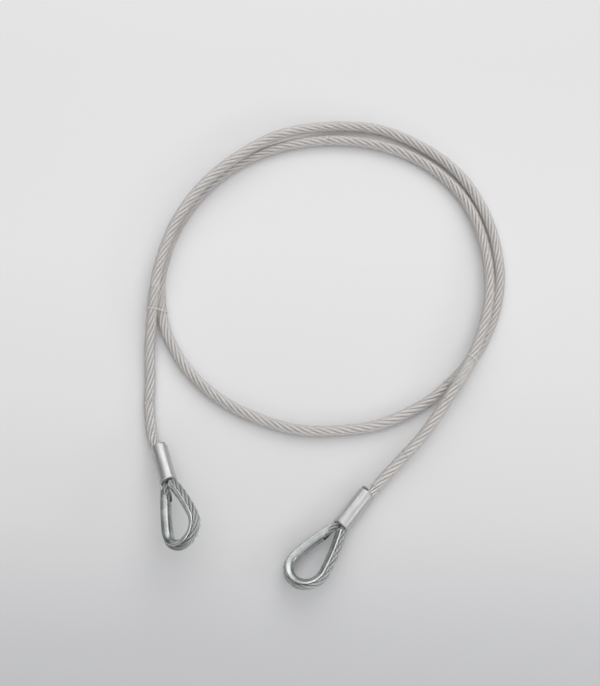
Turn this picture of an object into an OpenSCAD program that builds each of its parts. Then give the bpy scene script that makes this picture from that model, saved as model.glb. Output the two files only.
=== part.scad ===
// Wire rope sling: coated rope laid in a loose coil, with a pressed eye and thimble at each end.
// Origin: on the surface it lies on, at the centre of its outline. +Z is up.

/* [Rope] */
// Diameter of the bare wire rope
rope_d = 6; // [5.6:0.1:6]
// Outside diameter over the clear plastic coat
coat_d = 8; // [7:0.1:8]
// Length of one full turn of a strand, laid right-handed
lay_length = 41; // [36:1:50]

/* [Eyes] */
// Inside diameter of the thimble's round end
eye_bore = 18; // [17:0.5:19]
// From the ferrule's mouth to the outside of the eye's round end
eye_length = 53; // [50:1:56]
// Thickness of the thimble's sheet
thimble_wall = 1.4; // [1:0.1:1.6]
// Roll of eye A about its rope
roll_a = 38; // [32:1:45]
// Roll of eye B about its rope
roll_b = 17; // [10:1:20]

/* [Ferrules] */
// Diameter of a pressed ferrule
ferrule_d = 12; // [11.8:0.1:13]
// Length of a pressed ferrule
ferrule_length = 30; // [28:1:32]
// Chamfer at both ends of a ferrule
ferrule_chamfer = 0.8; // [0.4:0.1:1]

/* [Wraps] */
// Length of the left wrap
wrap_left_length = 16; // [12:1:18]
// Length of the right wrap
wrap_right_length = 24; // [18:1:24]
// Thickness of the wound tape
wrap_wall = 0.4; // [0.3:0.1:0.6]

/* [Hidden] */
$fn = 48;

// The rope's route, from the mouth of ferrule A to the mouth of ferrule B.
// Each stretch starts where the one before it ends.
LEG_A_END = [[-116.5, -79.5, 9], [-120.5, -66, 4.8], [-123, -46, 4], [-123, -28, 4]];
LEG_A_ROOT = [[-123, -28, 4], [-124, -4, 6], [-123, 19, 9.6]];
COIL = [
    [-123, 19, 9.6], [-121.5, 38, 12.3], [-118.5, 59, 12.7], [-109, 90, 12.5], [-91, 120, 12.3],
    [-66, 144.5, 12], [-34, 165, 10.2], [3, 174.5, 6], [40, 173, 4.2], [73, 158, 4], [100, 134.5, 4],
    [118, 101, 4], [125.5, 63, 4], [122.5, 31, 4], [111.5, 2, 4], [97, -19, 4], [81.5, -34.5, 4],
    [65.5, -46.5, 4], [38, -59.5, 4], [10, -64, 4], [-20, -63.5, 4], [-49, -54.5, 4], [-74, -41, 4],
    [-96, -20.5, 4], [-110, 2.5, 4], [-116, 21, 4], [-118.3, 38, 4], [-117.3, 59, 4], [-108, 91, 4],
    [-89, 121, 4], [-64, 143.5, 4], [-32, 158.5, 4], [3, 164, 4], [38, 160.5, 4], [69, 148, 4],
    [93, 127.5, 4.3], [108.5, 101, 6], [116.5, 65, 9], [116, 30, 10.8], [107, -2, 12.3],
    [96.5, -24, 12.3], [86, -41, 11.6],
];
LEG_B_ROOT = [[86, -41, 11.6], [76, -56.5, 10.3], [64, -72.5, 8.8]];
LEG_B_END = [[64, -72.5, 8.8], [50.5, -87, 7.3], [38, -100.5, 6.5], [29.5, -111.5, 7.4]];

// The two places along the coil that each wrap binds together.
WRAP_LEFT_AT = [0.7, 25.7];
WRAP_RIGHT_AT = [15.1, 40.1];

ROPE_R = rope_d / 2;
COAT_R = coat_d / 2;
COAT_BORE_R = ROPE_R + 0.15;
TUBE_SIDES = 10;

// A strand of the eyes' bare rope. Inside the ferrules the rope is pressed smaller.
STRANDS = 6;
STRAND_R = 0.15 * rope_d;
STRAND_LAY_R = rope_d / 3;
STRAND_SIDES = 6;
STRAND_STEP = lay_length / 10;
PRESSED = 0.82;
PRESSED_LENGTH = 5;
LIMB_V = 2.6;
LIMB_BORE_R = 2.5;
DEAD_END_LEAN = 0.25;
STUB_A = 1;
STUB_B = 3;

// Room for the legs to bend and for the eyes to turn.
SWING_GAP = 0.5;
LIFT_GAP = 0.1;
MOUTH_GAP = 0.1;
STRIPPED_A = 1.5;
STRIPPED_B = 6;
WRAP_GAP = 0.4;
WRAP_SIDES = 8;
WRAP_STEPS = 6;

// The thimble's channel. Its back is flat where a pin bears on it.
TROUGH_R = ROPE_R + 0.1;
BACK = TROUGH_R + thimble_wall - 0.15;
FLANGE_SPLAY = 20;
FLANGE_LENGTH = 2;
TROUGH_STEPS = 10;
LIMB_START = 3;
LIMB_GAP = 0.2;
LIMB_OVERLAP = 0.4;
LIMB_INSET = 0.03;
SHORT_LIMB_V = 4.2;
SHORT_LIMB_SLOPE = 4;

// The eye's centreline: a round nose and two long flanks, tangent to each other.
NOSE_R = eye_bore / 2 + BACK;
NOSE_U = eye_length - NOSE_R - ROPE_R;
NOSE_TURN = 100;
FLANK_K = (NOSE_U * NOSE_U + LIMB_V * LIMB_V - NOSE_R * NOSE_R)
    / (2 * (NOSE_R + NOSE_U * cos(NOSE_TURN) - LIMB_V * sin(NOSE_TURN)));
FLANK_R = FLANK_K + NOSE_R;
FLANK_U = NOSE_U - FLANK_K * cos(NOSE_TURN);
FLANK_V = -FLANK_K * sin(NOSE_TURN);
FLANK_TURN = 90 + atan2(FLANK_U, LIMB_V - FLANK_V) - NOSE_TURN;
NOSE_HALF = NOSE_R * NOSE_TURN * PI / 180;
LOOP_HALF = NOSE_HALF + FLANK_R * FLANK_TURN * PI / 180;

// ---- Curves ----

function unit(v) = v / norm(v);

function within(x, low, high) = max(low, min(high, x));

function all_but_last(l) = [for (i = [0:len(l) - 2]) l[i]];

ROUTE = concat(all_but_last(LEG_A_END), all_but_last(LEG_A_ROOT), all_but_last(COIL),
    all_but_last(LEG_B_ROOT), LEG_B_END);
Q_LIFT_A = len(LEG_A_END) - 1;
Q_SWING_A = Q_LIFT_A + len(LEG_A_ROOT) - 1;
Q_SWING_B = Q_SWING_A + len(COIL) - 1;
Q_LIFT_B = Q_SWING_B + len(LEG_B_ROOT) - 1;
Q_END = len(ROUTE) - 1;

// A place on the smooth curve through the route's points, which is at point i when q is i.
function route_point(q) =
    let (i = within(floor(q), 0, Q_END - 1), t = q - i, p1 = ROUTE[i], p2 = ROUTE[i + 1])
    let (p0 = i > 0 ? ROUTE[i - 1] : 2 * p1 - p2, p3 = i < Q_END - 1 ? ROUTE[i + 2] : 2 * p2 - p1)
    p1 + (p2 - p0) * t / 2 + (2 * p0 - 5 * p1 + 4 * p2 - p3) * t * t / 2
        + (3 * p1 - p0 - 3 * p2 + p3) * t * t * t / 2;

function route_dir(q) = unit(route_point(q + 0.01) - route_point(q - 0.01));

// The place a short length further along the route.
function q_past(q, length) = q + length * 0.02 / norm(route_point(q + 0.01) - route_point(q - 0.01));

// ---- Swept skins ----

// A ring of points, turning from x towards y.
function ring(centre, x, y, r, sides, turn = 0) =
    [for (i = [0:sides - 1]) let (a = turn + i * 360 / sides) centre + r * (x * cos(a) + y * sin(a))];

// Triangles between rings that are stored one after another, facing out or in.
function skin_faces(start, rings, sides, inward = false) =
    [for (k = [0:rings - 2], i = [0:sides - 1])
        let (a = start + k * sides + i, b = start + k * sides + (i + 1) % sides)
        each inward ? [[a, b + sides, a + sides], [a, b, b + sides]]
            : [[a, a + sides, b + sides], [a, b + sides, b]]];

// A flat end across one ring.
function cap_face(start, sides, forward) = [for (i = [0:sides - 1]) start + (forward ? sides - 1 - i : i)];

// A flat end between an outer ring and an inner one.
function rim_faces(outer, inner, sides, forward) =
    [for (i = [0:sides - 1]) let (j = (i + 1) % sides)
        forward ? [inner + i, inner + j, outer + j, outer + i]
            : [outer + i, outer + j, inner + j, inner + i]];

// Places for the rings of a stretch: its two ends, and every half point between them.
function stations(q_from, q_to) =
    concat([q_from], [for (k = [ceil(2 * q_from + 0.3):floor(2 * q_to - 0.3)]) k / 2], [q_to]);

function route_skin(qs, radii) =
    [for (k = [0:len(qs) - 1])
        let (d = route_dir(qs[k]), left = unit(cross([0, 0, 1], d)))
        each ring(route_point(qs[k]), left, cross(d, left), radii[k], TUBE_SIDES)];

module rope_stretch(q_from, q_to, pressed_from = false, pressed_to = false) {
    mouth = PRESSED * ROPE_R;
    q_a = q_past(q_from, PRESSED_LENGTH);
    q_b = q_past(q_to, -PRESSED_LENGTH);
    qs = concat(pressed_from ? [q_from] : [], stations(pressed_from ? q_a : q_from, pressed_to ? q_b : q_to),
        pressed_to ? [q_to] : []);
    last = len(qs) - 1;
    radii = [for (k = [0:last]) (pressed_from && k == 0) || (pressed_to && k == last) ? mouth : ROPE_R];
    faces = concat([cap_face(0, TUBE_SIDES, false)], skin_faces(0, len(qs), TUBE_SIDES),
        [cap_face(last * TUBE_SIDES, TUBE_SIDES, true)]);
    color([0.62, 0.62, 0.61]) polyhedron(route_skin(qs, radii), faces, convexity = 12);
}

// The coat is a hollow skin round the rope.
module coat_stretch(q_from, q_to) {
    qs = stations(q_from, q_to);
    n = len(qs);
    inner = n * TUBE_SIDES;
    end = (n - 1) * TUBE_SIDES;
    points = concat(route_skin(qs, [for (q = qs) COAT_R]), route_skin(qs, [for (q = qs) COAT_BORE_R]));
    faces = concat(skin_faces(0, n, TUBE_SIDES), skin_faces(inner, n, TUBE_SIDES, true),
        rim_faces(0, inner, TUBE_SIDES, false), rim_faces(end, inner + end, TUBE_SIDES, true));
    color([0.8, 0.79, 0.75, 0.5]) polyhedron(points, faces, convexity = 12);
}

// ---- Eyes. Each is drawn with u (+X) along its ferrule, v (+Y) across it and w (+Z) square to it. ----

// The centreline's place and heading at a signed length s from the tip of the nose.
function loop_at(s) =
    let (side = s < 0 ? -1 : 1, past_nose = abs(s) - NOSE_HALF, past_mouth = abs(s) - LOOP_HALF)
    let (turn = past_nose < 0 ? abs(s) / NOSE_R * 180 / PI : NOSE_TURN + past_nose / FLANK_R * 180 / PI)
    past_mouth > 0 ? [-past_mouth, side * LIMB_V, 90 + side * 90]
        : past_nose > 0 ? [FLANK_U + FLANK_R * cos(turn), side * (FLANK_V + FLANK_R * sin(turn)), 90 + side * turn]
        : [NOSE_U + NOSE_R * cos(turn), side * NOSE_R * sin(turn), 90 + side * turn];

// How far the rope is squeezed at s: fully in the ferrule, and not at all a little way out of it.
function squeeze(s) = PRESSED + (1 - PRESSED) * within((LOOP_HALF - abs(s)) / PRESSED_LENGTH, 0, 1);

// A dead end leans away from the live rope beside it.
function lean(s) = sign(s) * DEAD_END_LEAN * max(0, abs(s) - LOOP_HALF - ferrule_length);

// One strand, or the core when lay_r is 0, from the live limb's mouth round the eye to the cut end.
module eye_wire(live, stub, lay_r, phase) {
    half = LOOP_HALF + ferrule_length;
    s_from = -half - (live > 0 ? stub : 0);
    s_to = half + (live < 0 ? stub : 0);
    steps = ceil((s_to - s_from) / STRAND_STEP);
    points = [for (k = [0:steps])
        let (s = s_from + (s_to - s_from) * k / steps, p = loop_at(s), c = squeeze(s))
        let (inward = [-sin(p[2]), cos(p[2]), 0], up = [0, 0, 1], turn = phase + s * 360 / lay_length)
        let (centre = [p[0], p[1] + lean(s), 0] + c * lay_r * (inward * cos(turn) + up * sin(turn)))
        each ring(centre, inward, up, c * STRAND_R, STRAND_SIDES, turn)];
    faces = concat([cap_face(0, STRAND_SIDES, false)], skin_faces(0, steps + 1, STRAND_SIDES),
        [cap_face(steps * STRAND_SIDES, STRAND_SIDES, true)]);
    polyhedron(points, faces, convexity = 8);
}

module eye_strand(live, stub, k) {
    color([0.6, 0.62, 0.62]) eye_wire(live, stub, STRAND_LAY_R, k * 360 / STRANDS);
}

module eye_core(live, stub) { color([0.5, 0.5, 0.5]) eye_wire(live, stub, 0, 0); }

// Puts an eye on a rope end, so that its live limb carries straight on from the rope.
module place_eye(q, outward, roll, live) {
    d = outward * route_dir(q);
    translate(route_point(q)) rotate([0, 0, atan2(d.y, d.x)]) rotate([0, -asin(d.z), 0])
        rotate([roll, 0, 0]) translate([ferrule_length, -live * LIMB_V, 0]) children();
}

module at_eye_a() { place_eye(0, -1, roll_a, -1) children(); }

module at_eye_b() { place_eye(Q_END, 1, roll_b, 1) children(); }

module ferrule() {
    bevel_r = ferrule_d / 2 - ferrule_chamfer;
    color([0.78, 0.78, 0.79]) rotate([0, -90, 0]) difference() {
        union() {
            cylinder(h = ferrule_chamfer, r1 = bevel_r, r2 = ferrule_d / 2);
            translate([0, 0, ferrule_chamfer])
                cylinder(h = ferrule_length - 2 * ferrule_chamfer, r = ferrule_d / 2);
            translate([0, 0, ferrule_length - ferrule_chamfer])
                cylinder(h = ferrule_chamfer, r1 = ferrule_d / 2, r2 = bevel_r);
        }
        for (side = [-1, 1])
            translate([0, side * LIMB_V, -1]) cylinder(h = ferrule_length + 2, r = LIMB_BORE_R);
    }
}

// A point of the trough at radius r and angle a, kept from reaching past its flat back.
function trough_point(r, a, back) = [max(r * cos(a), -back), r * sin(a)];

// The end of a flange's face, which runs straight on from the trough at radius r.
function flange_end(r, side, length) = let (a = FLANGE_SPLAY)
    [length * cos(a) - r * sin(a), side * (length * sin(a) + r * cos(a))];

// The channel's outline. The rope lies at the origin, and the eye's middle is towards -x.
// An inset outline is thinner all round, so that a limb can start inside the nose.
module channel_section(inset = 0) {
    outer_r = TROUGH_R + thimble_wall - inset;
    inner_r = TROUGH_R + inset;
    flange = FLANGE_LENGTH - inset;
    angles = [for (k = [0:TROUGH_STEPS]) 90 + FLANGE_SPLAY + k * (180 - 2 * FLANGE_SPLAY) / TROUGH_STEPS];
    polygon(concat([flange_end(outer_r, 1, flange)],
        [for (a = angles) trough_point(outer_r, a, BACK - inset)],
        [flange_end(outer_r, -1, flange), flange_end(inner_r, -1, flange)],
        [for (a = angles) trough_point(inner_r, 360 - a, BACK)],
        [flange_end(inner_r, 1, flange)]));
}

// The limb on the +v side, ending near the ferrule.
module thimble_limb() {
    overlap = LIMB_OVERLAP / FLANK_R * 180 / PI;
    intersection() {
        translate([FLANK_U, FLANK_V, 0]) rotate([0, 0, NOSE_TURN - overlap])
            rotate_extrude(angle = FLANK_TURN + overlap) translate([FLANK_R, 0]) channel_section(LIMB_INSET);
        translate([LIMB_START, LIMB_GAP, -20]) cube([80, 40, 40]);
    }
}

module thimble() {
    color([0.72, 0.75, 0.76]) {
        translate([NOSE_U, 0, 0]) rotate([0, 0, -NOSE_TURN])
            rotate_extrude(angle = 2 * NOSE_TURN) translate([NOSE_R, 0]) channel_section();
        thimble_limb();
        mirror([0, 1, 0]) difference() {
            thimble_limb();
            translate([LIMB_START, SHORT_LIMB_V, 0]) rotate([0, 0, -SHORT_LIMB_SLOPE])
                translate([-40, -40, -20]) cube([80, 40, 40]);
        }
    }
}

// ---- Wraps: tape round two stretches of the coil, where one lies on the other ----

// Half a ring round each stretch, at a length s along them from the middle of the wrap.
function wrap_ring(at, s, r) =
    let (q = [Q_SWING_A + at[0], Q_SWING_A + at[1]], along = unit(route_dir(q[0]) + route_dir(q[1])))
    let (p = [route_point(q_past(q[0], s)), route_point(q_past(q[1], s))], apart = p[1] - p[0])
    let (across = unit(apart - along * (apart * along)), upward = cross(along, across))
    [for (side = [1, 0], k = [0:WRAP_SIDES]) let (a = 90 - side * 180 + k * 180 / WRAP_SIDES)
        p[side] + r * (across * cos(a) + upward * sin(a))];

module wrap(at, length) {
    sides = 2 * WRAP_SIDES + 2;
    rings = WRAP_STEPS + 1;
    inner = rings * sides;
    end = WRAP_STEPS * sides;
    inner_r = COAT_R + WRAP_GAP;
    points = [for (r = [inner_r + wrap_wall, inner_r], k = [0:WRAP_STEPS])
        each wrap_ring(at, length * (k / WRAP_STEPS - 0.5), r)];
    faces = concat(skin_faces(0, rings, sides), skin_faces(inner, rings, sides, true),
        rim_faces(0, inner, sides, false), rim_faces(end, inner + end, sides, true));
    color([0.86, 0.86, 0.8, 0.4]) polyhedron(points, faces, convexity = 6);
}

// ---- The sub-parts ----

module coil_rope() { rope_stretch(q_past(Q_SWING_A, SWING_GAP), q_past(Q_SWING_B, -SWING_GAP)); }

module coil_coat() { coat_stretch(q_past(Q_SWING_A, SWING_GAP), q_past(Q_SWING_B, -SWING_GAP)); }

module wrap_left() { wrap(WRAP_LEFT_AT, wrap_left_length); }

module wrap_right() { wrap(WRAP_RIGHT_AT, wrap_right_length); }

module leg_a_root_rope() { rope_stretch(q_past(Q_LIFT_A, LIFT_GAP), q_past(Q_SWING_A, -SWING_GAP)); }

module leg_a_root_coat() { coat_stretch(q_past(Q_LIFT_A, LIFT_GAP), q_past(Q_SWING_A, -SWING_GAP)); }

module leg_a_end_rope() { rope_stretch(q_past(0, MOUTH_GAP), q_past(Q_LIFT_A, -LIFT_GAP), pressed_from = true); }

module leg_a_end_coat() { coat_stretch(q_past(0, STRIPPED_A), q_past(Q_LIFT_A, -LIFT_GAP)); }

module leg_b_root_rope() { rope_stretch(q_past(Q_SWING_B, SWING_GAP), q_past(Q_LIFT_B, -LIFT_GAP)); }

module leg_b_root_coat() { coat_stretch(q_past(Q_SWING_B, SWING_GAP), q_past(Q_LIFT_B, -LIFT_GAP)); }

module leg_b_end_rope() {
    rope_stretch(q_past(Q_LIFT_B, LIFT_GAP), q_past(Q_END, -MOUTH_GAP), pressed_to = true);
}

module leg_b_end_coat() { coat_stretch(q_past(Q_LIFT_B, LIFT_GAP), q_past(Q_END, -STRIPPED_B)); }

module ferrule_a() { at_eye_a() ferrule(); }

module thimble_a() { at_eye_a() thimble(); }

module eye_a_core() { at_eye_a() eye_core(-1, STUB_A); }

module eye_a_strand(k) { at_eye_a() eye_strand(-1, STUB_A, k); }

module ferrule_b() { at_eye_b() ferrule(); }

module thimble_b() { at_eye_b() thimble(); }

module eye_b_core() { at_eye_b() eye_core(1, STUB_B); }

module eye_b_strand(k) { at_eye_b() eye_strand(1, STUB_B, k); }

coil_rope();
coil_coat();
wrap_left();
wrap_right();
leg_a_root_rope();
leg_a_root_coat();
leg_a_end_rope();
leg_a_end_coat();
leg_b_root_rope();
leg_b_root_coat();
leg_b_end_rope();
leg_b_end_coat();
ferrule_a();
thimble_a();
eye_a_core();
for (k = [1:STRANDS]) eye_a_strand(k);
ferrule_b();
thimble_b();
eye_b_core();
for (k = [1:STRANDS]) eye_b_strand(k);
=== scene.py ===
import math

import bmesh
import bpy
import numpy as np
from mathutils import Matrix, Vector


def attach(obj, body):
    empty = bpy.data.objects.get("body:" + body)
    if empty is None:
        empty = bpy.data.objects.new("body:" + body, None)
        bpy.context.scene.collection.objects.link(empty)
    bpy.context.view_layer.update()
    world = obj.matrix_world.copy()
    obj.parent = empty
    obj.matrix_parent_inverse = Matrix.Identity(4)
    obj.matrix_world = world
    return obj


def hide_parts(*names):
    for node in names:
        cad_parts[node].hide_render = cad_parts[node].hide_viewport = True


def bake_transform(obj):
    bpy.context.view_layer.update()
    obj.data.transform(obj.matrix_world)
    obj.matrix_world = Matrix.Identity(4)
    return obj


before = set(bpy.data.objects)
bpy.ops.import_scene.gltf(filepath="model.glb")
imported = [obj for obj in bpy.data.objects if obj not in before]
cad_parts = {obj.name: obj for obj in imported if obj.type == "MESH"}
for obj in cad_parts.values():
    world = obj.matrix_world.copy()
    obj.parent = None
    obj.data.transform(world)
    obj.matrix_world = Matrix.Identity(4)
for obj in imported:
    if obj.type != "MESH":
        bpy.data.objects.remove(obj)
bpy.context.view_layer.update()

MM = 0.001

# ---- Sizes of the sling, in metres, as in the CAD ----

ROPE_R = 3 * MM
COAT_R = 4 * MM
LAY = 41 * MM
LIMB_V = 2.6 * MM
EYE_LENGTH = 53 * MM
EYE_BORE_R = 9 * MM
SHEET = 1.4 * MM
FERRULE_R = 6 * MM
FERRULE_LENGTH = 30 * MM
PRESSED = 0.82
PRESSED_LENGTH = 5 * MM
STRIPPED_A = 1.5 * MM
STRIPPED_B = 6 * MM
STUB_A = 1 * MM
STUB_B = 3 * MM
DEAD_END_LEAN = 0.25
ROLL_A = 38
ROLL_B = 17

# The rope's route, from the mouth of ferrule A to the mouth of ferrule B.
LEG_A_END = [
    (-0.1165, -0.0795, 0.009), (-0.1205, -0.066, 0.0048), (-0.123, -0.046, 0.004), (-0.123, -0.028, 0.004),
]
LEG_A_ROOT = [(-0.123, -0.028, 0.004), (-0.124, -0.004, 0.006), (-0.123, 0.019, 0.0096)]
COIL = [
    (-0.123, 0.019, 0.0096), (-0.1215, 0.038, 0.0123), (-0.1185, 0.059, 0.0127), (-0.109, 0.09, 0.0125),
    (-0.091, 0.12, 0.0123), (-0.066, 0.1445, 0.012), (-0.034, 0.165, 0.0102), (0.003, 0.1745, 0.006),
    (0.04, 0.173, 0.0042), (0.073, 0.158, 0.004), (0.1, 0.1345, 0.004), (0.118, 0.101, 0.004),
    (0.1255, 0.063, 0.004), (0.1225, 0.031, 0.004), (0.1115, 0.002, 0.004), (0.097, -0.019, 0.004),
    (0.0815, -0.0345, 0.004), (0.0655, -0.0465, 0.004), (0.038, -0.0595, 0.004), (0.01, -0.064, 0.004),
    (-0.02, -0.0635, 0.004), (-0.049, -0.0545, 0.004), (-0.074, -0.041, 0.004), (-0.096, -0.0205, 0.004),
    (-0.11, 0.0025, 0.004), (-0.116, 0.021, 0.004), (-0.1183, 0.038, 0.004), (-0.1173, 0.059, 0.004),
    (-0.108, 0.091, 0.004), (-0.089, 0.121, 0.004), (-0.064, 0.1435, 0.004), (-0.032, 0.1585, 0.004),
    (0.003, 0.164, 0.004), (0.038, 0.1605, 0.004), (0.069, 0.148, 0.004), (0.093, 0.1275, 0.0043),
    (0.1085, 0.101, 0.006), (0.1165, 0.065, 0.009), (0.116, 0.03, 0.0108), (0.107, -0.002, 0.0123),
    (0.0965, -0.024, 0.0123), (0.086, -0.041, 0.0116),
]
LEG_B_ROOT = [(0.086, -0.041, 0.0116), (0.076, -0.0565, 0.0103), (0.064, -0.0725, 0.0088)]
LEG_B_END = [
    (0.064, -0.0725, 0.0088), (0.0505, -0.087, 0.0073), (0.038, -0.1005, 0.0065), (0.0295, -0.1115, 0.0074),
]
ROUTE = np.array(LEG_A_END[:-1] + LEG_A_ROOT[:-1] + COIL[:-1] + LEG_B_ROOT[:-1] + LEG_B_END)
Q_COIL = len(LEG_A_END) + len(LEG_A_ROOT) - 2
Q_END = len(ROUTE) - 1


# ---- The camera ----

def add_camera():
    camera = bpy.data.objects.new("camera", bpy.data.cameras.new("camera"))
    camera.data.lens = 85
    camera.data.sensor_width = 36
    camera.location = (-0.018, -0.4278, 1.0663)
    aim = Vector((-0.018, 0.003, 0)) - camera.location
    camera.rotation_euler = aim.to_track_quat("-Z", "Y").to_euler()
    bpy.context.scene.collection.objects.link(camera)
    bpy.context.scene.camera = camera


add_camera()


# ---- The route as a curve ----

def unit(v):
    return v / np.linalg.norm(v)


def route_point(q):
    """A place on the smooth curve through the route's points, which is at point i when q is i."""
    i = min(max(int(math.floor(q)), 0), Q_END - 1)
    t = q - i
    p1, p2 = ROUTE[i], ROUTE[i + 1]
    p0 = ROUTE[i - 1] if i > 0 else 2 * p1 - p2
    p3 = ROUTE[i + 2] if i < Q_END - 1 else 2 * p2 - p1
    return (p1 + (p2 - p0) * t / 2 + (2 * p0 - 5 * p1 + 4 * p2 - p3) * t**2 / 2
            + (3 * p1 - p0 - 3 * p2 + p3) * t**3 / 2)


def route_dir(q):
    return unit(route_point(q + 0.01) - route_point(q - 0.01))


ARC_Q = np.linspace(0, Q_END, 40 * Q_END + 1)
ARC_STEPS = np.diff([route_point(q) for q in ARC_Q], axis=0)
ARC_S = np.concatenate([[0], np.cumsum(np.linalg.norm(ARC_STEPS, axis=1))])
LENGTH = float(ARC_S[-1])


def along(q):
    """The length of rope from ferrule A to the place q."""
    return float(np.interp(q, ARC_Q, ARC_S))


def station(s):
    """Place, direction, left and up on the rope at length s. Past its two ends it runs straight on."""
    inside = min(max(s, 0), LENGTH)
    q = float(np.interp(inside, ARC_S, ARC_Q))
    d = route_dir(q)
    left = unit(np.cross((0, 0, 1), d))
    return route_point(q) + (s - inside) * d, d, left, np.cross(d, left)


def spaced(start, end, step):
    return np.linspace(start, end, max(2, math.ceil((end - start) / step) + 1))


# ---- Meshes ----

LAY_UV = "lay"


def add_mesh(name, skins, material, capped=True):
    """One mesh of swept skins, each a list of rings. u runs once round a skin and v runs along it, in mm."""
    points, faces, uvs, base = [], [], [], 0
    for rings in skins:
        rings = np.asarray(rings)
        count, sides = rings.shape[:2]
        middles = rings.mean(axis=1)
        run = np.concatenate([[0], np.cumsum(np.linalg.norm(np.diff(middles, axis=0), axis=1))]) / MM
        points.append(rings.reshape(-1, 3))
        for k in range(count - 1):
            for i in range(sides):
                a, b = base + k * sides + i, base + k * sides + (i + 1) % sides
                faces.append((a, b, b + sides, a + sides))
                u0, u1 = i / sides, (i + 1) / sides
                uvs += [u0, run[k], u1, run[k], u1, run[k + 1], u0, run[k + 1]]
        if capped:
            faces.append(tuple(base + i for i in reversed(range(sides))))
            faces.append(tuple(base + (count - 1) * sides + i for i in range(sides)))
            uvs += [0, run[0]] * sides + [0, run[-1]] * sides
        base += count * sides
    mesh = bpy.data.meshes.new(name)
    mesh.from_pydata(np.concatenate(points).tolist(), [], faces)
    mesh.uv_layers.new(name=LAY_UV).data.foreach_set("uv", uvs)
    return add_piece(name, mesh, material)


def add_piece(name, mesh, material):
    mesh.polygons.foreach_set("use_smooth", [len(p.vertices) <= 4 for p in mesh.polygons])
    mesh.materials.append(material)
    piece = bpy.data.objects.new(name, mesh)
    bpy.context.scene.collection.objects.link(piece)
    return piece


# ---- Strands ----

STRANDS = 6
OUTER_WIRES = 6
WIRE_R = 0.333 * MM
WIRE_LAY_R = 2 * WIRE_R
STRAND_LAY_R = 2 * MM
WIRE_LAY = 14 * MM
CORE_R = 3 * WIRE_R
CORE_SIDES = 10


def strand_outline(points_per_wire):
    """Radii and angles round a strand of six wires on a seventh."""
    points, pitch = OUTER_WIRES * points_per_wire, 2 * math.pi / OUTER_WIRES
    angles = np.arange(points) * 2 * math.pi / points
    off = (angles + pitch / 2) % pitch - pitch / 2
    reach = np.sqrt(np.maximum(WIRE_R**2 - (WIRE_LAY_R * np.sin(off)) ** 2, 0))
    return WIRE_LAY_R * np.cos(off) + reach, angles


def strand_rings(stations, lengths, scales, phase, points_per_wire):
    """Rings of one strand, laid right-handed round a rope, with its own wires laid left-handed."""
    radii, angles = strand_outline(points_per_wire)
    rings = []
    for (p, d, x, y), s, scale in zip(stations, lengths, scales):
        turn = phase + 2 * math.pi * s / LAY
        out = x * math.cos(turn) + y * math.sin(turn)
        around = y * math.cos(turn) - x * math.sin(turn)
        lay_r = STRAND_LAY_R * scale
        side = unit(np.cross(d + around * 2 * math.pi * lay_r / LAY, out))
        wire_turn = angles - 2 * math.pi * s / WIRE_LAY
        section = np.outer(radii * np.cos(wire_turn), out) + np.outer(radii * np.sin(wire_turn), side)
        rings.append(p + lay_r * out + section * scale)
    return rings


def round_ring(centre, r, x, y, sides):
    angles = np.arange(sides) * 2 * math.pi / sides
    return centre + r * (np.outer(np.cos(angles), x) + np.outer(np.sin(angles), y))


def rope_skins(stations, lengths, scales, points_per_wire):
    """The six strands of a rope, and the core that they lie on."""
    skins = [strand_rings(stations, lengths, scales, 2 * math.pi * k / STRANDS, points_per_wire)
             for k in range(STRANDS)]
    core = [round_ring(p, scale * CORE_R, x, y, CORE_SIDES) for (p, _, x, y), scale in zip(stations, scales)]
    return [*skins, core]


# ---- Materials ----

# A Mix node has a set of sockets for each data type. These are its colour ones.
MIX_A, MIX_B, MIX_RESULT = 6, 7, 2


def new_material(name):
    material = bpy.data.materials.new(name)
    material.use_nodes = True
    nodes = material.node_tree.nodes
    return material, nodes, material.node_tree.links, nodes["Principled BSDF"]


def grey(value):
    return (value, value, value)


def add_ramp(nodes, links, factor, stops, socket):
    """Feeds a socket with a ramp of colours over a factor."""
    node = nodes.new("ShaderNodeValToRGB")
    while len(node.color_ramp.elements) < len(stops):
        node.color_ramp.elements.new(0.5)
    for element, (place, colour) in zip(node.color_ramp.elements, stops):
        element.position = place
        element.color = (*colour, 1)
    links.new(factor, node.inputs["Fac"])
    links.new(node.outputs["Color"], socket)


def object_coordinates(nodes):
    return nodes.new("ShaderNodeTexCoord").outputs["Object"]


def add_noise(nodes, links, scale, detail):
    node = nodes.new("ShaderNodeTexNoise")
    node.inputs["Scale"].default_value = scale
    node.inputs["Detail"].default_value = detail
    links.new(object_coordinates(nodes), node.inputs["Vector"])
    return node.outputs["Fac"]


def add_streaks(nodes, links, round_scale, along_scale, detail):
    """Noise on a swept skin's own coordinates, scaled once round it and per millimetre along it."""
    place = nodes.new("ShaderNodeUVMap")
    place.uv_map = LAY_UV
    mapping = nodes.new("ShaderNodeMapping")
    mapping.inputs["Scale"].default_value = (round_scale, along_scale, 1)
    links.new(place.outputs["UV"], mapping.inputs["Vector"])
    node = nodes.new("ShaderNodeTexNoise")
    node.inputs["Scale"].default_value = 1
    node.inputs["Detail"].default_value = detail
    links.new(mapping.outputs["Vector"], node.inputs["Vector"])
    return node.outputs["Fac"]


def add_bump(nodes, links, height, strength, distance):
    node = nodes.new("ShaderNodeBump")
    node.inputs["Strength"].default_value = strength
    node.inputs["Distance"].default_value = distance
    links.new(height, node.inputs["Height"])
    links.new(node.outputs["Normal"], nodes["Principled BSDF"].inputs["Normal"])


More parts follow.
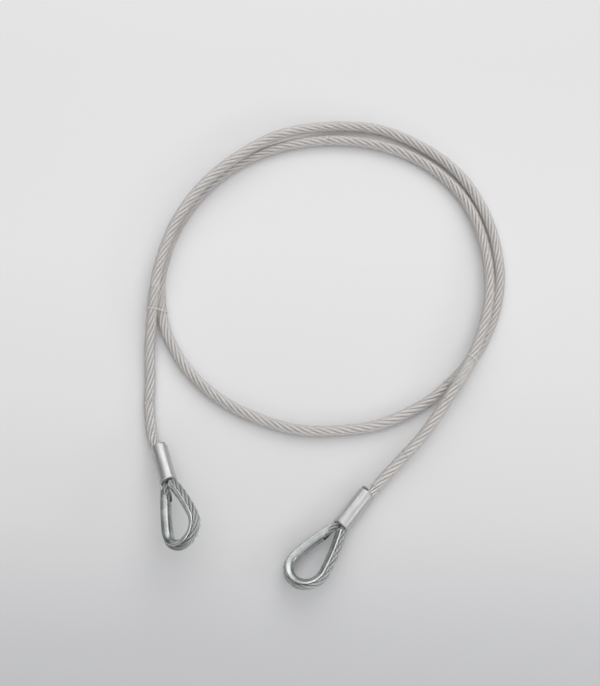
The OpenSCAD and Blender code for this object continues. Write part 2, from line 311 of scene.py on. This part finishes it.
def wire_material(name, dark, light, roughness, metallic, gloss=0):
    """Galvanised wire: streaks along each wire, with a mottled zinc finish."""
    material, nodes, links, shader = new_material(name)
    shader.inputs["Metallic"].default_value = metallic
    shader.inputs["Coat Weight"].default_value = gloss
    shader.inputs["Coat Roughness"].default_value = 0.12
    streaks = add_streaks(nodes, links, 18, 0.12, detail=3)
    add_ramp(nodes, links, streaks, [(0.3, dark), (0.7, light)], shader.inputs["Base Color"])
    mottle = add_noise(nodes, links, 900, detail=2)
    add_ramp(nodes, links, mottle, [(0.3, grey(roughness - 0.08)), (0.7, grey(roughness + 0.1))],
             shader.inputs["Roughness"])
    add_bump(nodes, links, streaks, 0.15, 0.1 * MM)
    return material


def coat_material():
    """Clear soft plastic, faintly warm, with a shallow waviness where it follows the strands."""
    material, nodes, links, shader = new_material("clear_coat")
    shader.inputs["IOR"].default_value = 1.5
    shader.inputs["Alpha"].default_value = 0.27
    tint = add_noise(nodes, links, 60, detail=2)
    add_ramp(nodes, links, tint, [(0.3, (0.74, 0.72, 0.70)), (0.7, (0.84, 0.81, 0.79))],
             shader.inputs["Base Color"])
    haze = add_noise(nodes, links, 250, detail=2)
    add_ramp(nodes, links, haze, [(0.3, grey(0.1)), (0.7, grey(0.22))], shader.inputs["Roughness"])
    add_bump(nodes, links, add_noise(nodes, links, 180, detail=1), 0.2, 0.4 * MM)
    return material


def tape_material(name, opacity):
    """Clear tape in several turns, mottled and faintly milky, with folds round it."""
    material, nodes, links, shader = new_material(name)
    shader.inputs["IOR"].default_value = 1.45
    shader.inputs["Alpha"].default_value = opacity
    mottle = add_noise(nodes, links, 220, detail=3)
    add_ramp(nodes, links, mottle, [(0.3, (0.80, 0.785, 0.75)), (0.7, (0.92, 0.90, 0.865))],
             shader.inputs["Base Color"])
    add_ramp(nodes, links, mottle, [(0.3, grey(0.22)), (0.7, grey(0.4))], shader.inputs["Roughness"])
    add_bump(nodes, links, add_streaks(nodes, links, 6, 0.9, detail=2), 0.4, 0.5 * MM)
    return material


def zinc_material():
    """Hot-dipped zinc: bluish grey, with pale spangles and shallow runs, and a painted highlight along its
    lips.
    """
    material, nodes, links, shader = new_material("zinc")
    shader.inputs["Metallic"].default_value = 0.95
    spangle = nodes.new("ShaderNodeTexVoronoi")
    spangle.inputs["Scale"].default_value = 380
    links.new(object_coordinates(nodes), spangle.inputs["Vector"])
    runs = add_noise(nodes, links, 120, detail=4)
    pattern = nodes.new("ShaderNodeMix")
    pattern.data_type = "FLOAT"
    pattern.inputs["Factor"].default_value = 0.85
    links.new(spangle.outputs["Distance"], pattern.inputs["A"])
    links.new(runs, pattern.inputs["B"])
    # Painted highlight: the base colour turns near white on the thimble's sharp rounded lips, where they
    # would catch the light.
    lip_highlight = nodes.new("ShaderNodeMix")
    lip_highlight.data_type = "RGBA"
    edges = nodes.new("ShaderNodeNewGeometry").outputs["Pointiness"]
    add_ramp(nodes, links, edges, [(0.51, grey(0)), (0.56, grey(1))], lip_highlight.inputs["Factor"])
    add_ramp(nodes, links, pattern.outputs["Result"],
             [(0.25, (0.32, 0.345, 0.34)), (0.55, (0.46, 0.485, 0.475)), (0.8, (0.66, 0.68, 0.665))],
             lip_highlight.inputs[MIX_A])
    lip_highlight.inputs[MIX_B].default_value = (0.9, 0.915, 0.905, 1)
    links.new(lip_highlight.outputs[MIX_RESULT], shader.inputs["Base Color"])
    add_ramp(nodes, links, runs, [(0.3, grey(0.22)), (0.7, grey(0.32))], shader.inputs["Roughness"])
    add_bump(nodes, links, runs, 0.15, 0.4 * MM)
    return material


def aluminium_material():
    """Pressed aluminium: pale, with drawn streaks along the ferrule and small scuffs."""
    material, nodes, links, shader = new_material("aluminium")
    shader.inputs["Metallic"].default_value = 0.85
    streaks = add_streaks(nodes, links, 26, 0.06, detail=4)
    add_ramp(nodes, links, streaks, [(0.3, grey(0.48)), (0.5, grey(0.58)), (0.72, grey(0.68))],
             shader.inputs["Base Color"])
    scuffs = add_noise(nodes, links, 500, detail=5)
    add_ramp(nodes, links, scuffs, [(0.35, grey(0.34)), (0.7, grey(0.46))], shader.inputs["Roughness"])
    add_bump(nodes, links, streaks, 0.3, 0.2 * MM)
    return material


def floor_material():
    """Pale grey, a little darker towards the front: painted shade where the light falls off."""
    material, nodes, links, shader = new_material("floor")
    shader.inputs["Roughness"].default_value = 0.6
    split = nodes.new("ShaderNodeSeparateXYZ")
    links.new(object_coordinates(nodes), split.inputs["Vector"])
    # Painted shade: the base colour runs darker towards the front, and slightly at the back, by the floor's
    # Y, standing in for the light's falloff.
    depth = nodes.new("ShaderNodeMapRange")
    depth.inputs["From Min"].default_value = -FLOOR_SHADE_REACH
    depth.inputs["From Max"].default_value = FLOOR_SHADE_REACH
    links.new(split.outputs["Y"], depth.inputs["Value"])
    add_ramp(nodes, links, depth.outputs["Result"], [
        (0, (0.535, 0.537, 0.55)), (0.1, (0.59, 0.592, 0.602)), (0.26, (0.725, 0.725, 0.73)),
        (0.45, (0.80, 0.795, 0.80)), (0.65, (0.83, 0.828, 0.832)), (0.95, (0.805, 0.80, 0.805)),
    ], shader.inputs["Base Color"])
    return material


COAT = coat_material()
ROPE_WIRE = wire_material("rope_wire", (0.59, 0.57, 0.55), (0.88, 0.85, 0.825), 0.45, 0.4, gloss=0.8)
EYE_WIRE = wire_material("eye_wire", (0.30, 0.31, 0.31), (0.60, 0.61, 0.60), 0.4, 0.75)
CUT_WIRE = wire_material("cut_wire", grey(0.18), (0.36, 0.36, 0.35), 0.55, 0.6)
ZINC = zinc_material()
ALUMINIUM = aluminium_material()
TAPE = tape_material("clear_tape", 0.24)
THIN_TAPE = tape_material("thin_tape", 0.1)
HEM = tape_material("tape_edge", 0.7)

# ---- The coated rope: seven stretches, each put on one body or left where it is built ----

SHEATH_SIDES = 24
ROPE_POINTS_PER_WIRE = 2
SHEATH_STEP = 2.5 * MM
STRAND_STEP = 1.7 * MM
IN_FERRULE = 3.2 * MM       # how far a leg's strands are drawn inside the ferrule
COAT_LIP = 0.4 * MM
COAT_LENS = 0.23            # the clear coat works as a lens and makes the rope inside look this much thicker
LENS_RAMP = 5 * MM          # how far from the coat's end the rope takes to look that thick

LIFT_A = along(len(LEG_A_END) - 1)
SWING_A = along(Q_COIL)
SWING_B = along(Q_COIL + len(COIL) - 1)
LIFT_B = along(Q_COIL + len(COIL) + len(LEG_B_ROOT) - 2)
BEND = 15 * MM              # how far a bend reaches to each side of a leg's lifting hinge
TURN_A = 10 * MM            # the same for the hinge that each leg swings on
TURN_B = 5 * MM
TWIST_START = 5 * MM        # where a rolling eye's twist of its leg is listed to start, this far past the bend
TWIST_END = 4 * MM          # and to end, this far from the ferrule
TIP_A = LIFT_A - BEND
TIP_B = LIFT_B + BEND
ROOT_A = SWING_A - TURN_A
ROOT_B = SWING_B + TURN_B
COIL_1 = along(Q_COIL + 12)     # where the coil's middle stretch starts and ends
COIL_2 = along(Q_COIL + 32)


def sheath_rings(start, end):
    """The coat's outer skin, closed on the rope with a rounded lip where the coat is stripped off."""
    profile = [(s, COAT_R) for s in spaced(start, end, SHEATH_STEP)]
    if start == STRIPPED_A:
        profile = [(start, ROPE_R), (start, COAT_R - COAT_LIP), (start + COAT_LIP / 3, COAT_R - COAT_LIP / 4),
                   (start + COAT_LIP, COAT_R)] + profile[1:]
    if end == LENGTH - STRIPPED_B:
        profile = profile[:-1] + [(end - COAT_LIP, COAT_R), (end - COAT_LIP / 3, COAT_R - COAT_LIP / 4),
                                  (end, COAT_R - COAT_LIP), (end, ROPE_R)]
    rings = []
    for s, r in profile:
        p, _, left, up = station(s)
        rings.append(round_ring(p, r, left, up, SHEATH_SIDES))
    return rings


def pressed(distance):
    """How far the rope is squeezed at a distance outside a ferrule's mouth."""
    return PRESSED + (1 - PRESSED) * min(max(distance / PRESSED_LENGTH, 0), 1)


def seen_scale(s):
    """How thick the rope is drawn: squeezed at a ferrule's mouth, and enlarged inside the round coat."""
    depth = min(s - STRIPPED_A, LENGTH - STRIPPED_B - s)
    return pressed(min(s, LENGTH - s)) * (1 + COAT_LENS * min(max(depth / LENS_RAMP, 0), 1))


def strands_of(start, end):
    lengths = spaced(start, end, STRAND_STEP)
    stations = [station(s) for s in lengths]
    scales = [seen_scale(s) for s in lengths]
    return rope_skins(stations, lengths, scales, ROPE_POINTS_PER_WIRE)


def add_stretch(name, start, end, coat_node, rope_node, joins):
    """A stretch of coated rope, put on one body when joins is that body's name. When joins is (body, body,
    the bend's start, its end), these values are not used and the stretch stays where it is built.
    """
    sheath = add_mesh(name + "_sheath", [sheath_rings(max(start, STRIPPED_A), min(end, LENGTH - STRIPPED_B))],
                      COAT, capped=False)
    strands_start = -IN_FERRULE if start == 0 else start
    strands_end = LENGTH + IN_FERRULE if end == LENGTH else end
    strands = add_mesh(name + "_strands", strands_of(strands_start, strands_end), ROPE_WIRE)
    for piece, node in ((sheath, coat_node), (strands, rope_node)):
        if isinstance(joins, str):
            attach(piece, joins)
        else:
            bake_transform(piece)
        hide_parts(node)
    return sheath, strands


tip_a = add_stretch("leg_a_tip", 0, TIP_A, "leg_a_end_coat", "leg_a_end_rope",
                    ("leg_a_end", "eye_a", TIP_A - TWIST_START, TWIST_END))
root_a = add_stretch("leg_a_root", TIP_A, ROOT_A, "leg_a_root_coat", "leg_a_root_rope",
                     ("leg_a_end", "leg_a_root", TIP_A, LIFT_A + BEND))
coil_1 = add_stretch("coil_first", ROOT_A, COIL_1, "coil_coat", "coil_rope",
                     ("leg_a_root", "coil", ROOT_A, SWING_A + TURN_A))
coil_2 = add_stretch("coil_middle", COIL_1, COIL_2, "coil_coat", "coil_rope", "coil")
coil_3 = add_stretch("coil_last", COIL_2, ROOT_B, "coil_coat", "coil_rope",
                     ("coil", "leg_b_root", SWING_B - TURN_B, ROOT_B))
root_b = add_stretch("leg_b_root", ROOT_B, TIP_B, "leg_b_root_coat", "leg_b_root_rope",
                     ("leg_b_root", "leg_b_end", LIFT_B - BEND, TIP_B))
tip_b = add_stretch("leg_b_tip", TIP_B, LENGTH, "leg_b_end_coat", "leg_b_end_rope",
                    ("leg_b_end", "eye_b", TIP_B + TWIST_START, LENGTH - TWIST_END))


# ---- The eyes, each built with +X along its ferrule, +Y across it and +Z square to it ----

ROPE_PLAY = 0.1 * MM
BACK_FLAT = 0.15 * MM       # how much the trough's back is flattened
TROUGH_R = ROPE_R + ROPE_PLAY
BACK = TROUGH_R + SHEET - BACK_FLAT
NOSE_R = EYE_BORE_R + BACK
NOSE_U = EYE_LENGTH - NOSE_R - ROPE_R
NOSE_TURN = math.radians(100)
FLANK_K = (NOSE_U**2 + LIMB_V**2 - NOSE_R**2) / (
    2 * (NOSE_R + NOSE_U * math.cos(NOSE_TURN) - LIMB_V * math.sin(NOSE_TURN)))
FLANK_R = FLANK_K + NOSE_R
FLANK_U = NOSE_U - FLANK_K * math.cos(NOSE_TURN)
FLANK_V = -FLANK_K * math.sin(NOSE_TURN)
FLANK_TURN = math.pi / 2 + math.atan2(FLANK_U, LIMB_V - FLANK_V) - NOSE_TURN
NOSE_HALF = NOSE_R * NOSE_TURN
LOOP_HALF = NOSE_HALF + FLANK_R * FLANK_TURN


def loop_at(s):
    """Place, heading, inward and up on the eye's centreline, at a signed length s from its nose's tip."""
    side, past_nose, past_mouth = (-1 if s < 0 else 1), abs(s) - NOSE_HALF, abs(s) - LOOP_HALF
    if past_mouth > 0:
        heading = math.pi / 2 * (1 + side)
        u, v = -past_mouth, side * LIMB_V
    elif past_nose > 0:
        turn = NOSE_TURN + past_nose / FLANK_R
        heading = math.pi / 2 + side * turn
        u, v = FLANK_U + FLANK_R * math.cos(turn), side * (FLANK_V + FLANK_R * math.sin(turn))
    else:
        turn = abs(s) / NOSE_R
        heading = math.pi / 2 + side * turn
        u, v = NOSE_U + NOSE_R * math.cos(turn), side * NOSE_R * math.sin(turn)
    lean = side * DEAD_END_LEAN * max(0, past_mouth - FERRULE_LENGTH)
    ahead = np.array((math.cos(heading), math.sin(heading), 0))
    inward = np.array((-math.sin(heading), math.cos(heading), 0))
    return np.array((u, v + lean, 0)), ahead, inward, np.array((0, 0, 1.0))


def eye_matrix(q, outward, roll, live):
    """Where an eye is put, so that its live limb carries straight on from the rope."""
    d = outward * route_dir(q)
    return (Matrix.Translation(route_point(q)) @ Matrix.Rotation(math.atan2(d[1], d[0]), 4, "Z")
            @ Matrix.Rotation(-math.asin(d[2]), 4, "Y") @ Matrix.Rotation(math.radians(roll), 4, "X")
            @ Matrix.Translation((FERRULE_LENGTH, -live * LIMB_V, 0)))


INNER_GAP = 0.5 * MM     # between a leg's strands and its eye's, out of sight in the ferrule
EYE_STEP = 1.1 * MM
EYE_POINTS_PER_WIRE = 4


def eye_wires(letter, live, stub):
    """Each strand and the core, round the eye and into both bores, and the cut end past the dead bore."""
    half = LOOP_HALF + FERRULE_LENGTH
    hidden = half - IN_FERRULE - INNER_GAP
    lengths = spaced(-hidden, hidden, EYE_STEP)
    stations = [loop_at(s) for s in lengths]
    scales = [pressed(LOOP_HALF - abs(s)) for s in lengths]
    skins = rope_skins(stations, lengths, scales, EYE_POINTS_PER_WIRE)
    names = [f"wires_{k + 1}" for k in range(STRANDS)] + ["heart"]
    pieces = [add_mesh(f"eye_{letter}_{name}", [skin], EYE_WIRE)
              for name, skin in zip(names, skins)]
    cut = spaced(hidden, half + stub, EYE_STEP) * -live
    skins = rope_skins([loop_at(s) for s in cut], cut, [PRESSED] * len(cut), EYE_POINTS_PER_WIRE)
    pieces.append(add_mesh(f"eye_{letter}_dead_end", skins, CUT_WIRE))
    nodes = [f"eye_{letter}_strand_{k + 1}" for k in range(STRANDS)] + [f"eye_{letter}_core"] * 2
    return list(zip(pieces, nodes))


FLANGE_SPLAY = math.radians(20)
FLANGE_LENGTH = 2 * MM
LIMB_START = 3 * MM
SHORT_LIMB_V = 4.2 * MM
SHORT_LIMB_SLOPE = math.radians(4)
LIMB_GAP = 0.15 * MM    # the least that a limb keeps from the eye's middle line
THIMBLE_STEP = 0.9 * MM
WELD = 0.001 * MM


def channel_outline():
    """The thimble's section as (outward, up) points: a trough, two flanges and rounded lips."""
    middle_r, half = TROUGH_R + SHEET / 2, SHEET / 2
    bends = np.linspace(math.pi / 2 + FLANGE_SPLAY, 3 * math.pi / 2 - FLANGE_SPLAY, 21)
    line = [(middle_r * math.cos(a), middle_r * math.sin(a), a) for a in bends]
    flanges = []
    for a, sign in ((bends[0], 1), (bends[-1], -1)):
        flange = []
        for reach in (FLANGE_LENGTH - half) * np.array((1, 0.75, 0.5, 0.25)):
            flange.append((middle_r * math.cos(a) + reach * math.cos(FLANGE_SPLAY),
                           middle_r * math.sin(a) + sign * reach * math.sin(FLANGE_SPLAY), a))
        flanges.append(flange)
    line = flanges[0] + line + flanges[1][::-1]
    outer = [(max(x + half * math.cos(a), -BACK), y + half * math.sin(a)) for x, y, a in line]
    inner = [(x - half * math.cos(a), y - half * math.sin(a)) for x, y, a in line]
    lips = []
    for (x, y, a), start in ((line[-1], 0), (line[0], math.pi)):
        turns = a + start + np.linspace(0, math.pi, 7)[1:-1]
        lips.append([(x + half * math.cos(t), y + half * math.sin(t)) for t in turns])
    return outer + lips[0] + inner[::-1] + lips[1]


def channel_ring(bm, s, side, outline):
    """The section's corners at one place on the eye, where a limb stays on its own side of the middle."""
    p, _, inward, up = loop_at(s)
    ring = []
    for x, y in outline:
        u, v, w = p - inward * x + up * y
        if abs(s) > NOSE_HALF:
            v = side * max(side * v, LIMB_GAP)
        ring.append(bm.verts.new((u, v, w)))
    return ring


def cut_short_limb(bm):
    """Cuts off the limb on the -Y side along a sloping plane, which makes it the short one."""
    limb = [f for f in bm.faces if max(v.co.x for v in f.verts) < NOSE_U - NOSE_R / 2]
    edges, verts = {e for f in limb for e in f.edges}, {v for f in limb for v in f.verts}
    cut = bmesh.ops.bisect_plane(
        bm, geom=[*verts, *edges, *limb], plane_co=(LIMB_START, -SHORT_LIMB_V, 0),
        plane_no=(math.sin(SHORT_LIMB_SLOPE), -math.cos(SHORT_LIMB_SLOPE), 0), clear_inner=True)
    bmesh.ops.holes_fill(bm, edges=[e for e in cut["geom_cut"] if isinstance(e, bmesh.types.BMEdge)], sides=0)


def add_thimble(letter):
    outline = channel_outline()
    bm = bmesh.new()
    for side in (-1, 1):
        stops = spaced(0, LOOP_HALF - LIMB_START, THIMBLE_STEP) * side
        rings = [channel_ring(bm, s, side, outline) for s in stops]
        for r0, r1 in zip(rings, rings[1:]):
            for i in range(len(r0)):
                j = (i + 1) % len(r0)
                bm.faces.new((r0[i], r0[j], r1[j], r1[i]))
        bm.faces.new(rings[-1])
        if side < 0:
            cut_short_limb(bm)
    bmesh.ops.remove_doubles(bm, verts=bm.verts, dist=WELD)
    bmesh.ops.recalc_face_normals(bm, faces=bm.faces)
    mesh = bpy.data.meshes.new(f"thimble_{letter}_sheet")
    bm.to_mesh(mesh)
    bm.free()
    return add_piece(mesh.name, mesh, ZINC)


FERRULE_SIDES = 96
SLOT_HALF = 2.55 * MM
SLOT_R = 2.6 * MM
SLOT_DEPTH = 3 * MM
SLOT_LIP = 0.25 * MM
SLOT_FLARE = 1.04
MOUTH_ROUND = 0.8 * MM
PRESS_LINE = 0.05 * MM      # how far a pressing line stands proud
PRESS_LINE_AT = 0.9         # radians round the ferrule
PRESS_LINE_WIDTH = 0.05
BARREL_WAVE = 0.002         # the unevenness that pressing leaves, as a share of the radius
BARREL_WAVES = 40           # radians of it in a ferrule's length


def stadium_reach(angle, half_length, r):
    """How far a slot with round ends reaches from its middle in one direction."""
    c, s = abs(math.cos(angle)), abs(math.sin(angle))
    if s > 1e-9 and r / s * c <= half_length:
        return r / s
    return half_length * c + math.sqrt(r * r - (half_length * s) ** 2)


def add_ferrule(letter):
    """A pressed sleeve with a slot in each mouth, rounded ends and two fine pressing lines."""
    angles = np.arange(FERRULE_SIDES) * 2 * math.pi / FERRULE_SIDES
    slot = np.array([stadium_reach(a, SLOT_HALF, SLOT_R) for a in angles])
    off = np.minimum((angles - PRESS_LINE_AT) % math.pi, (PRESS_LINE_AT - angles) % math.pi)
    barrel = FERRULE_R - PRESS_LINE * (1 - np.exp(-(off / PRESS_LINE_WIDTH) ** 2))
    end = [(-SLOT_DEPTH, slot), (-SLOT_LIP, slot), (0, slot * SLOT_FLARE)]
    end += [(-MOUTH_ROUND * (1 - math.cos(t)), barrel - MOUTH_ROUND * (1 - math.sin(t)))
            for t in np.linspace(0, math.pi / 2, 6)]
    middle = FERRULE_LENGTH / 2
    profile = [(-middle - u, r) for u, r in end]
    profile += [(t * FERRULE_LENGTH, barrel * (1 + BARREL_WAVE * math.sin(BARREL_WAVES * t)))
                for t in np.linspace(-0.42, 0.42, 15)]
    profile += [(middle + u, r) for u, r in reversed(end)]
    rings = [np.column_stack((np.full(FERRULE_SIDES, u - middle), r * np.cos(angles), r * np.sin(angles)))
             for u, r in profile]
    return add_mesh(f"ferrule_{letter}_sleeve", [rings], ALUMINIUM)


def add_eye(letter, q, outward, roll, live, stub):
    place = eye_matrix(q, outward, roll, live)
    pieces = eye_wires(letter, live, stub)
    pieces += [(add_thimble(letter), f"thimble_{letter}"), (add_ferrule(letter), f"ferrule_{letter}")]
    for piece, node in pieces:
        piece.data.transform(place)
        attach(piece, f"eye_{letter}")
        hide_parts(node)


add_eye("a", 0, -1, ROLL_A, -1, STUB_A)
add_eye("b", Q_END, 1, ROLL_B, 1, STUB_B)


# ---- The two wraps of tape ----

WRAP_SIDES = 40
TRACK_REACH = 1.2       # how many route points the ropes are followed to each side of a wrap's middle
# The outside of a wrap: shares of its length, each with how far it stands off the coats there, in mm.
WRAP_OUTSIDE = [
    (-0.5, 0.2), (-0.5, 0.34), (-0.42, 0.36), (-0.415, 0.52), (-0.2, 0.55), (0, 0.56), (0.2, 0.55),
    (0.4, 0.52), (0.405, 0.38), (0.47, 0.36), (0.5, 0.34), (0.5, 0.2),
]
WRAP_INSIDE = [(share, 0.14) for share in (0.5, 0.25, 0, -0.25, -0.5)]
# A hem's section: places along the wrap, and how far it stands off the coats, both in mm.
HEM_SECTION = [(-0.4, 0.15), (-0.3, 0.5), (0, 0.6), (0.3, 0.5), (0.4, 0.15)]


def add_wrap(name, at, length, tape):
    """Tape wound round the coil at two places on the route, with a folded hem where the rope goes in."""
    q0, q1 = Q_COIL + at[0], Q_COIL + at[1]
    ahead = unit(route_dir(q0) + route_dir(q1))
    middle = (route_point(q0) + route_point(q1)) / 2
    tracks = []
    for q in (q0, q1):
        line = np.array([route_point(t) for t in np.linspace(q - TRACK_REACH, q + TRACK_REACH, 121)])
        tracks.append((line, (line - middle) @ ahead))

    def ring(far, thick):
        """Two half circles round the two ropes, at one distance along from the wrap's middle."""
        c0, c1 = (np.array([np.interp(far, runs, line[:, k]) for k in range(3)]) for line, runs in tracks)
        across = unit(c1 - c0 - ahead * ((c1 - c0) @ ahead))
        upward = np.cross(ahead, across)
        made = []
        for centre, start in ((c0, math.pi / 2), (c1, 3 * math.pi / 2)):
            for a in start + np.linspace(0, math.pi, WRAP_SIDES // 2):
                made.append(centre + (COAT_R + thick * MM) * (across * math.cos(a) + upward * math.sin(a)))
        return made

    skin = [ring(share * length, thick) for share, thick in WRAP_OUTSIDE + WRAP_INSIDE]
    hem = [ring(-length / 2 + far * MM, thick) for far, thick in HEM_SECTION]
    for part, rings, material in (("tape", skin + [skin[0]], tape), ("hem", hem, HEM)):
        piece = add_mesh(f"{name}_{part}", [rings], material, capped=False)
        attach(piece, "coil")
        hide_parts(name)


add_wrap("wrap_left", (0.7, 25.7), 16 * MM, THIN_TAPE)
add_wrap("wrap_right", (15.1, 40.1), 24 * MM, TAPE)


# ---- Floor, lights and surroundings ----

FLOOR_HALF = 20.0
FLOOR_SHADE_REACH = 0.26


def add_floor():
    corners = [(x * FLOOR_HALF, y * FLOOR_HALF, 0) for x, y in ((-1, -1), (1, -1), (1, 1), (-1, 1))]
    mesh = bpy.data.meshes.new("floor")
    mesh.from_pydata(corners, [], [(0, 1, 2, 3)])
    mesh.materials.append(floor_material())
    floor = bpy.data.objects.new("floor", mesh)
    bpy.context.scene.collection.objects.link(floor)


def add_lamp(name, kind, place, aim, colour, energy):
    light = bpy.data.lights.new(name, kind)
    light.energy = energy
    light.color = colour
    lamp = bpy.data.objects.new(name, light)
    lamp.location = place
    lamp.rotation_euler = (Vector(aim) - Vector(place)).to_track_quat("-Z", "Y").to_euler()
    bpy.context.scene.collection.objects.link(lamp)
    return light


def add_panel(name, place, aim, colour, energy, width, height):
    light = add_lamp(name, "AREA", place, aim, colour, energy)
    light.shape = "RECTANGLE"
    light.size = width
    light.size_y = height


def add_lights():
    window = add_lamp("window", "SUN", (0.5, 0.75, 0.72), (0, 0, 0), (1, 0.985, 0.96), 0.35)
    window.angle = math.radians(36)
    add_panel("back", (-0.1, 0.78, 0.55), (-0.02, 0.1, 0), (0.98, 0.99, 1), 1.3, 1.1, 0.45)
    add_panel("front", (0.1, -0.85, 0.42), (-0.02, -0.1, 0), grey(1), 0.7, 0.5, 0.15)
    add_panel("side", (0.85, -0.42, 0.42), (-0.02, -0.1, 0), grey(1), 0.9, 0.45, 0.2)


def add_world():
    """A soft studio: bright overhead, dim at the horizon and darker to both sides."""
    world = bpy.data.worlds.new("studio")
    bpy.context.scene.world = world
    world.use_nodes = True
    nodes, links = world.node_tree.nodes, world.node_tree.links
    split = nodes.new("ShaderNodeSeparateXYZ")
    links.new(nodes.new("ShaderNodeTexCoord").outputs["Generated"], split.inputs["Vector"])
    mix = nodes.new("ShaderNodeMix")
    mix.data_type = "RGBA"
    mix.blend_type = "MULTIPLY"
    mix.inputs["Factor"].default_value = 1
    height_stops = [(0, grey(0.4)), (0.5, (0.27, 0.273, 0.275)), (0.68, (0.78, 0.782, 0.785)),
                    (1, (1.22, 1.22, 1.23))]
    side_stops = [(0, grey(0.15)), (0.15, grey(0.25)), (0.35, grey(0.9)), (0.5, grey(1)), (0.68, grey(0.95)),
                  (0.88, grey(0.45)), (1, grey(0.35))]
    for axis, stops, socket in (("Z", height_stops, MIX_A), ("X", side_stops, MIX_B)):
        share = nodes.new("ShaderNodeMapRange")
        share.inputs["From Min"].default_value = -1
        links.new(split.outputs[axis], share.inputs["Value"])
        add_ramp(nodes, links, share.outputs["Result"], stops, mix.inputs[socket])
    links.new(mix.outputs[MIX_RESULT], nodes["Background"].inputs["Color"])


add_floor()
add_world()
add_lights()
bpy.context.scene.view_settings.view_transform = "Standard"
